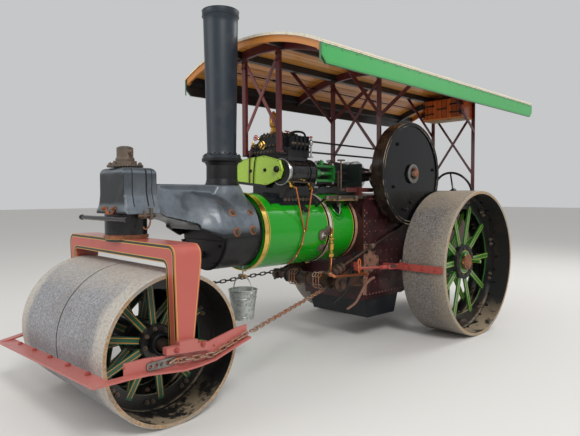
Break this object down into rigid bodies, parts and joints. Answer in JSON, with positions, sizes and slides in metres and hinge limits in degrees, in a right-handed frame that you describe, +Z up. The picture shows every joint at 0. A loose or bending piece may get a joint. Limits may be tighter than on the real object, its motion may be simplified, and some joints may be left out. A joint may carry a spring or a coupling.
{
  "type": "steam road roller",
  "caption": "Compound steam road roller with a steered split front roll in a fork, two spoked rear rolls, flywheel, chimney and a long curved canopy over the footplate.",
  "frame": {"origin": "on the ground below the middle of the machine, halfway between the front scraper blade and the rear edge of the canopy", "axes": "+X forward to the front roll, +Y to the left side where the flywheel is, +Z up"},
  "size_m": [5.938, 2.17, 3.0799],
  "materials": {
    "boiler_green": "gloss",
    "black_paint": "gloss",
    "smoke_black": "satin",
    "chimney_paint": "satin",
    "lime_paint": "gloss",
    "brass": "polished",
    "copper": "worn",
    "maroon_paint": "satin",
    "motion_green": "gloss",
    "bright_steel": "oily",
    "red_oxide": "satin",
    "roll_steel": "worn",
    "spoke_green": "gloss",
    "worn_iron": "worn",
    "rusty_iron": "rusty",
    "roof_cream": "satin",
    "valance_green": "gloss",
    "frame_wood": "painted",
    "locker_wood": "varnished",
    "zinc": "galvanised"
  },
  "bodies": {
    "root": {"smokebox": "smoke_black", "headstock": "black_paint", "chimney_base": "smoke_black", "chimney": "chimney_paint", "boiler_barrel": "boiler_green", "boiler_bands": "brass", "cylinder_block": "black_paint", "cylinder_cover": "lime_paint", "valve_chest": "black_paint", "safety_valve": "brass", "firebox": "maroon_paint", "hornplates": "maroon_paint", "ashpan": "smoke_black", "motion_work": "motion_green", "gear_guard": "maroon_paint", "tender": "maroon_paint", "footplate": "worn_iron", "canopy_roof": "roof_cream", "canopy_frame": "frame_wood", "canopy_posts": "maroon_paint", "valance_left": "valance_green", "valance_right": "valance_green", "locker": "locker_wood", "steering_gear": "worn_iron", "steering_wheel": "black_paint", "chain_left_rear": "rusty_iron", "chain_right_rear": "worn_iron", "drain_pipes": "copper", "feed_pipe": "copper", "rear_axle": "rusty_iron", "rear_scrapers": "red_oxide", "drawbar": "maroon_paint", "bucket": "zinc"},
    "front_fork": {"fork": "red_oxide", "scraper_frame": "red_oxide", "front_axle": "worn_iron", "king_pin": "worn_iron", "chain_left_front": "rusty_iron", "chain_right_front": "worn_iron"},
    "front_roll_left": {"front_rim_left": "roll_steel", "front_centre_left": "spoke_green"},
    "front_roll_right": {"front_rim_right": "roll_steel", "front_centre_right": "spoke_green"},
    "rear_roll_left": {"rear_rim_left": "roll_steel", "rear_centre_left": "spoke_green"},
    "rear_roll_right": {"rear_rim_right": "roll_steel", "rear_centre_right": "spoke_green"},
    "crank": {"crankshaft": "bright_steel", "flywheel": "black_paint"},
    "smokebox_door": {"smokebox_door": "smoke_black"},
    "locker_door_left": {"locker_door_left": "locker_wood"},
    "locker_door_right": {"locker_door_right": "locker_wood"}
  },
  "joints": [
    {"name": "steer", "type": "hinge", "parent": "root", "child": "front_fork", "pos_m": [2.311, 0, 1.3], "axis": [0, 0, 1], "range_deg": [-25, 25]},
    {"name": "front_roll_left_spin", "type": "hinge", "parent": "front_fork", "child": "front_roll_left", "pos_m": [2.329, 0.35, 0.51], "axis": [0, 1, 0], "continuous": true},
    {"name": "front_roll_right_spin", "type": "hinge", "parent": "front_fork", "child": "front_roll_right", "pos_m": [2.329, -0.35, 0.51], "axis": [0, 1, 0], "continuous": true},
    {"name": "rear_roll_left_spin", "type": "hinge", "parent": "root", "child": "rear_roll_left", "pos_m": [-1.221, 0.84, 0.78], "axis": [0, 1, 0], "continuous": true},
    {"name": "rear_roll_right_spin", "type": "hinge", "parent": "root", "child": "rear_roll_right", "pos_m": [-1.221, -0.84, 0.78], "axis": [0, 1, 0], "continuous": true},
    {"name": "crank_spin", "type": "hinge", "parent": "root", "child": "crank", "pos_m": [-0.651, 0, 1.739], "axis": [0, 1, 0], "continuous": true},
    {"name": "smokebox_door_swing", "type": "hinge", "parent": "root", "child": "smokebox_door", "pos_m": [1.6293, -0.284, 1.1], "axis": [0, 0, -1], "range_deg": [0, 60]},
    {"name": "locker_door_left_swing", "type": "hinge", "parent": "root", "child": "locker_door_left", "pos_m": [-2.2847, 0.296, 2.65], "axis": [0, 0, 1], "range_deg": [0, 90]},
    {"name": "locker_door_right_swing", "type": "hinge", "parent": "root", "child": "locker_door_right", "pos_m": [-2.2847, -0.296, 2.65], "axis": [0, 0, -1], "range_deg": [0, 90]}
  ]
}
